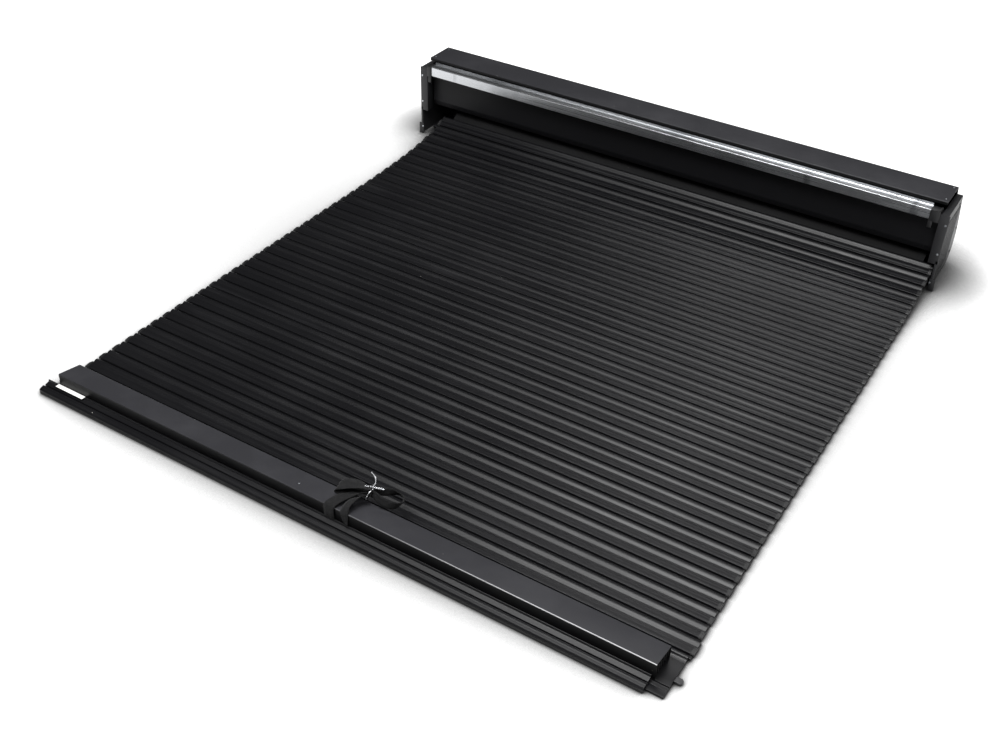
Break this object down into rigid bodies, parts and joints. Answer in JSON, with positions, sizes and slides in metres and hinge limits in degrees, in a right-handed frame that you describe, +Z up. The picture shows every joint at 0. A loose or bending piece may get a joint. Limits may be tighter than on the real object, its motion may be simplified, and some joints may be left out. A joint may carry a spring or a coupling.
{
  "type": "tonneau cover",
  "caption": "Retractable roll-up truck bed cover laid out flat: hinged black slat curtain between a spring-roller canister and a leading bar with sliding latch bolts and a pull strap.",
  "frame": {"origin": "centre of the footprint, on the surface that the cover lies on", "axes": "+X along the slats, +Y from the leading bar to the canister, +Z up; the cover lies with the ribbed underside of its curtain up"},
  "size_m": [1.6394, 1.7654, 0.245],
  "materials": {
    "black_extrusion": "black anodised aluminium extrusion, satin to semi-gloss",
    "housing_paint": "charcoal black powder coat, satin",
    "end_casting": "black painted ribbed end plate",
    "bare_trim": "bare mill aluminium",
    "black_plastic": "moulded black nylon",
    "plated_steel": "zinc-plated steel",
    "black_steel": "black plated steel bar",
    "seal_rubber": "black bulb seal",
    "strap_webbing": "black woven polyester webbing",
    "tie_wire": "bright tie wire"
  },
  "bodies": {
    "root": {"canister_shell": "housing_paint", "front_wall": "housing_paint", "trim_channel": "bare_trim", "end_plate_left": "end_casting", "end_plate_right": "end_casting", "corner_block_left": "black_plastic", "corner_block_right": "black_plastic", "bearing_left": "black_plastic", "bearing_right": "black_plastic", "spring_shaft": "plated_steel", "leader_band": "strap_webbing"},
    "roller": {"roller_tube": "plated_steel", "roller_plug_left": "black_plastic", "roller_plug_right": "black_plastic", "torsion_spring": "plated_steel"},
    "slat_36": {"slat_36": "black_extrusion"},
    "slat_35": {"slat_35": "black_extrusion"},
    "slat_34": {"slat_34": "black_extrusion"},
    "slat_33": {"slat_33": "black_extrusion"},
    "slat_32": {"slat_32": "black_extrusion"},
    "slat_31": {"slat_31": "black_extrusion"},
    "slat_30": {"slat_30": "black_extrusion"},
    "slat_29": {"slat_29": "black_extrusion"},
    "slat_28": {"slat_28": "black_extrusion"},
    "slat_27": {"slat_27": "black_extrusion"},
    "slat_26": {"slat_26": "black_extrusion"},
    "slat_25": {"slat_25": "black_extrusion"},
    "slat_24": {"slat_24": "black_extrusion"},
    "slat_23": {"slat_23": "black_extrusion"},
    "slat_22": {"slat_22": "black_extrusion"},
    "slat_21": {"slat_21": "black_extrusion"},
    "slat_20": {"slat_20": "black_extrusion"},
    "slat_19": {"slat_19": "black_extrusion"},
    "slat_18": {"slat_18": "black_extrusion"},
    "slat_17": {"slat_17": "black_extrusion"},
    "slat_16": {"slat_16": "black_extrusion"},
    "slat_15": {"slat_15": "black_extrusion"},
    "slat_14": {"slat_14": "black_extrusion"},
    "slat_13": {"slat_13": "black_extrusion"},
    "slat_12": {"slat_12": "black_extrusion"},
    "slat_11": {"slat_11": "black_extrusion"},
    "slat_10": {"slat_10": "black_extrusion"},
    "slat_09": {"slat_09": "black_extrusion"},
    "slat_08": {"slat_08": "black_extrusion"},
    "slat_07": {"slat_07": "black_extrusion"},
    "slat_06": {"slat_06": "black_extrusion"},
    "slat_05": {"slat_05": "black_extrusion"},
    "slat_04": {"slat_04": "black_extrusion"},
    "slat_03": {"slat_03": "black_extrusion"},
    "slat_02": {"slat_02": "black_extrusion"},
    "slat_01": {"slat_01": "black_extrusion"},
    "bar": {"base_plate": "black_extrusion", "box_beam": "housing_paint", "front_rail": "black_extrusion", "bulb_seal": "seal_rubber", "pull_strap": "strap_webbing", "strap_tie": "tie_wire"},
    "cam": {"latch_cam": "plated_steel"},
    "bolt_left": {"latch_bolt_left": "black_steel"},
    "bolt_right": {"latch_bolt_right": "black_steel"}
  },
  "joints": [
    {"name": "knuckle_36", "type": "hinge", "parent": "root", "child": "slat_36", "pos_m": [0, 0.72283, 0.05596], "axis": [-1, 0, 0], "range_deg": [0, 0.5]},
    {"name": "knuckle_35", "type": "hinge", "parent": "slat_36", "child": "slat_35", "pos_m": [0, 0.68426, 0.04038], "axis": [-1, 0, 0], "range_deg": [0, 0.5]},
    {"name": "knuckle_34", "type": "hinge", "parent": "slat_35", "child": "slat_34", "pos_m": [0, 0.64418, 0.02926], "axis": [-1, 0, 0], "range_deg": [0, 0.5]},
    {"name": "knuckle_33", "type": "hinge", "parent": "slat_34", "child": "slat_33", "pos_m": [0, 0.60327, 0.02168], "axis": [-1, 0, 0], "range_deg": [0, 0.7]},
    {"name": "knuckle_32", "type": "hinge", "parent": "slat_33", "child": "slat_32", "pos_m": [0, 0.56203, 0.01625], "axis": [-1, 0, 0], "range_deg": [0, 0.9]},
    {"name": "knuckle_31", "type": "hinge", "parent": "slat_32", "child": "slat_31", "pos_m": [0, 0.52059, 0.01262], "axis": [-1, 0, 0], "range_deg": [0, 1.3]},
    {"name": "knuckle_30", "type": "hinge", "parent": "slat_31", "child": "slat_30", "pos_m": [0, 0.47906, 0.01008], "axis": [-1, 0, 0], "range_deg": [0, 2]},
    {"name": "knuckle_29", "type": "hinge", "parent": "slat_30", "child": "slat_29", "pos_m": [0, 0.4375, 0.00827], "axis": [-1, 0, 0], "range_deg": [0, 3.7]},
    {"name": "knuckle_28", "type": "hinge", "parent": "slat_29", "child": "slat_28", "pos_m": [0, 0.39593, 0.00681], "axis": [-1, 0, 0], "range_deg": [0, 6.1]},
    {"name": "knuckle_27", "type": "hinge", "parent": "slat_28", "child": "slat_27", "pos_m": [0, 0.35434, 0.00573], "axis": [-1, 0, 0], "range_deg": [0, 8.6]},
    {"name": "knuckle_26", "type": "hinge", "parent": "slat_27", "child": "slat_26", "pos_m": [0, 0.31275, 0.005], "axis": [-1, 0, 0], "range_deg": [0, 10.4]},
    {"name": "knuckle_25", "type": "hinge", "parent": "slat_26", "child": "slat_25", "pos_m": [0, 0.27115, 0.005], "axis": [-1, 0, 0], "range_deg": [0, 10.6]},
    {"name": "knuckle_24", "type": "hinge", "parent": "slat_25", "child": "slat_24", "pos_m": [0, 0.22955, 0.005], "axis": [-1, 0, 0], "range_deg": [0, 10.8]},
    {"name": "knuckle_23", "type": "hinge", "parent": "slat_24", "child": "slat_23", "pos_m": [0, 0.18795, 0.005], "axis": [-1, 0, 0], "range_deg": [0, 11]},
    {"name": "knuckle_22", "type": "hinge", "parent": "slat_23", "child": "slat_22", "pos_m": [0, 0.14635, 0.005], "axis": [-1, 0, 0], "range_deg": [0, 11.2]},
    {"name": "knuckle_21", "type": "hinge", "parent": "slat_22", "child": "slat_21", "pos_m": [0, 0.10475, 0.005], "axis": [-1, 0, 0], "range_deg": [0, 11.4]},
    {"name": "knuckle_20", "type": "hinge", "parent": "slat_21", "child": "slat_20", "pos_m": [0, 0.06315, 0.005], "axis": [-1, 0, 0], "range_deg": [0, 11.6]},
    {"name": "knuckle_19", "type": "hinge", "parent": "slat_20", "child": "slat_19", "pos_m": [0, 0.02155, 0.005], "axis": [-1, 0, 0], "range_deg": [0, 11.8]},
    {"name": "knuckle_18", "type": "hinge", "parent": "slat_19", "child": "slat_18", "pos_m": [0, -0.02005, 0.005], "axis": [-1, 0, 0], "range_deg": [0, 12]},
    {"name": "knuckle_17", "type": "hinge", "parent": "slat_18", "child": "slat_17", "pos_m": [0, -0.06165, 0.005], "axis": [-1, 0, 0], "range_deg": [0, 12.2]},
    {"name": "knuckle_16", "type": "hinge", "parent": "slat_17", "child": "slat_16", "pos_m": [0, -0.10325, 0.005], "axis": [-1, 0, 0], "range_deg": [0, 12.4]},
    {"name": "knuckle_15", "type": "hinge", "parent": "slat_16", "child": "slat_15", "pos_m": [0, -0.14485, 0.005], "axis": [-1, 0, 0], "range_deg": [0, 12.6]},
    {"name": "knuckle_14", "type": "hinge", "parent": "slat_15", "child": "slat_14", "pos_m": [0, -0.18645, 0.005], "axis": [-1, 0, 0], "range_deg": [0, 12.8]},
    {"name": "knuckle_13", "type": "hinge", "parent": "slat_14", "child": "slat_13", "pos_m": [0, -0.22805, 0.005], "axis": [-1, 0, 0], "range_deg": [0, 13]},
    {"name": "knuckle_12", "type": "hinge", "parent": "slat_13", "child": "slat_12", "pos_m": [0, -0.26965, 0.005], "axis": [-1, 0, 0], "range_deg": [0, 13.2]},
    {"name": "knuckle_11", "type": "hinge", "parent": "slat_12", "child": "slat_11", "pos_m": [0, -0.31125, 0.005], "axis": [-1, 0, 0], "range_deg": [0, 13.4]},
    {"name": "knuckle_10", "type": "hinge", "parent": "slat_11", "child": "slat_10", "pos_m": [0, -0.35285, 0.005], "axis": [-1, 0, 0], "range_deg": [0, 13.6]},
    {"name": "knuckle_09", "type": "hinge", "parent": "slat_10", "child": "slat_09", "pos_m": [0, -0.39445, 0.005], "axis": [-1, 0, 0], "range_deg": [0, 13.8]},
    {"name": "knuckle_08", "type": "hinge", "parent": "slat_09", "child": "slat_08", "pos_m": [0, -0.43605, 0.005], "axis": [-1, 0, 0], "range_deg": [0, 14]},
    {"name": "knuckle_07", "type": "hinge", "parent": "slat_08", "child": "slat_07", "pos_m": [0, -0.47765, 0.005], "axis": [-1, 0, 0], "range_deg": [0, 14.2]},
    {"name": "knuckle_06", "type": "hinge", "parent": "slat_07", "child": "slat_06", "pos_m": [0, -0.51925, 0.005], "axis": [-1, 0, 0], "range_deg": [0, 14.4]},
    {"name": "knuckle_05", "type": "hinge", "parent": "slat_06", "child": "slat_05", "pos_m": [0, -0.56085, 0.005], "axis": [-1, 0, 0], "range_deg": [0, 14.6]},
    {"name": "knuckle_04", "type": "hinge", "parent": "slat_05", "child": "slat_04", "pos_m": [0, -0.60245, 0.005], "axis": [-1, 0, 0], "range_deg": [0, 14.8]},
    {"name": "knuckle_03", "type": "hinge", "parent": "slat_04", "child": "slat_03", "pos_m": [0, -0.64405, 0.005], "axis": [-1, 0, 0], "range_deg": [0, 15]},
    {"name": "knuckle_02", "type": "hinge", "parent": "slat_03", "child": "slat_02", "pos_m": [0, -0.68565, 0.005], "axis": [-1, 0, 0], "range_deg": [0, 15.2]},
    {"name": "knuckle_01", "type": "hinge", "parent": "slat_02", "child": "slat_01", "pos_m": [0, -0.72725, 0.005], "axis": [-1, 0, 0], "range_deg": [0, 15.4]},
    {"name": "bar_knuckle", "type": "hinge", "parent": "slat_01", "child": "bar", "pos_m": [0, -0.76975, 0.005], "axis": [-1, 0, 0], "range_deg": [0, 15.6]},
    {"name": "roller_turn", "type": "hinge", "parent": "root", "child": "roller", "pos_m": [0, 0.79525, 0.125], "axis": [1, 0, 0], "range_deg": [0, 1290]},
    {"name": "bolt_right_slide", "type": "slide", "parent": "bar", "child": "bolt_right", "axis": [-1, 0, 0], "range_m": [0, 0.01], "stiffness_N_per_m": 300, "springref_m": -0.006},
    {"name": "bolt_left_slide", "type": "slide", "parent": "bar", "child": "bolt_left", "axis": [1, 0, 0], "range_m": [0, 0.01]},
    {"name": "cam_turn", "type": "hinge", "parent": "bar", "child": "cam", "pos_m": [0.062, -0.82575, 0.0115], "axis": [0, 0, 1], "range_deg": [0, 50]}
  ],
  "couplings": [
    {"joint": "bolt_left_slide", "follows": "bolt_right_slide", "ratio": 1},
    {"joint": "cam_turn", "follows": "bolt_right_slide", "rad_per_m": 87.266}
  ]
}
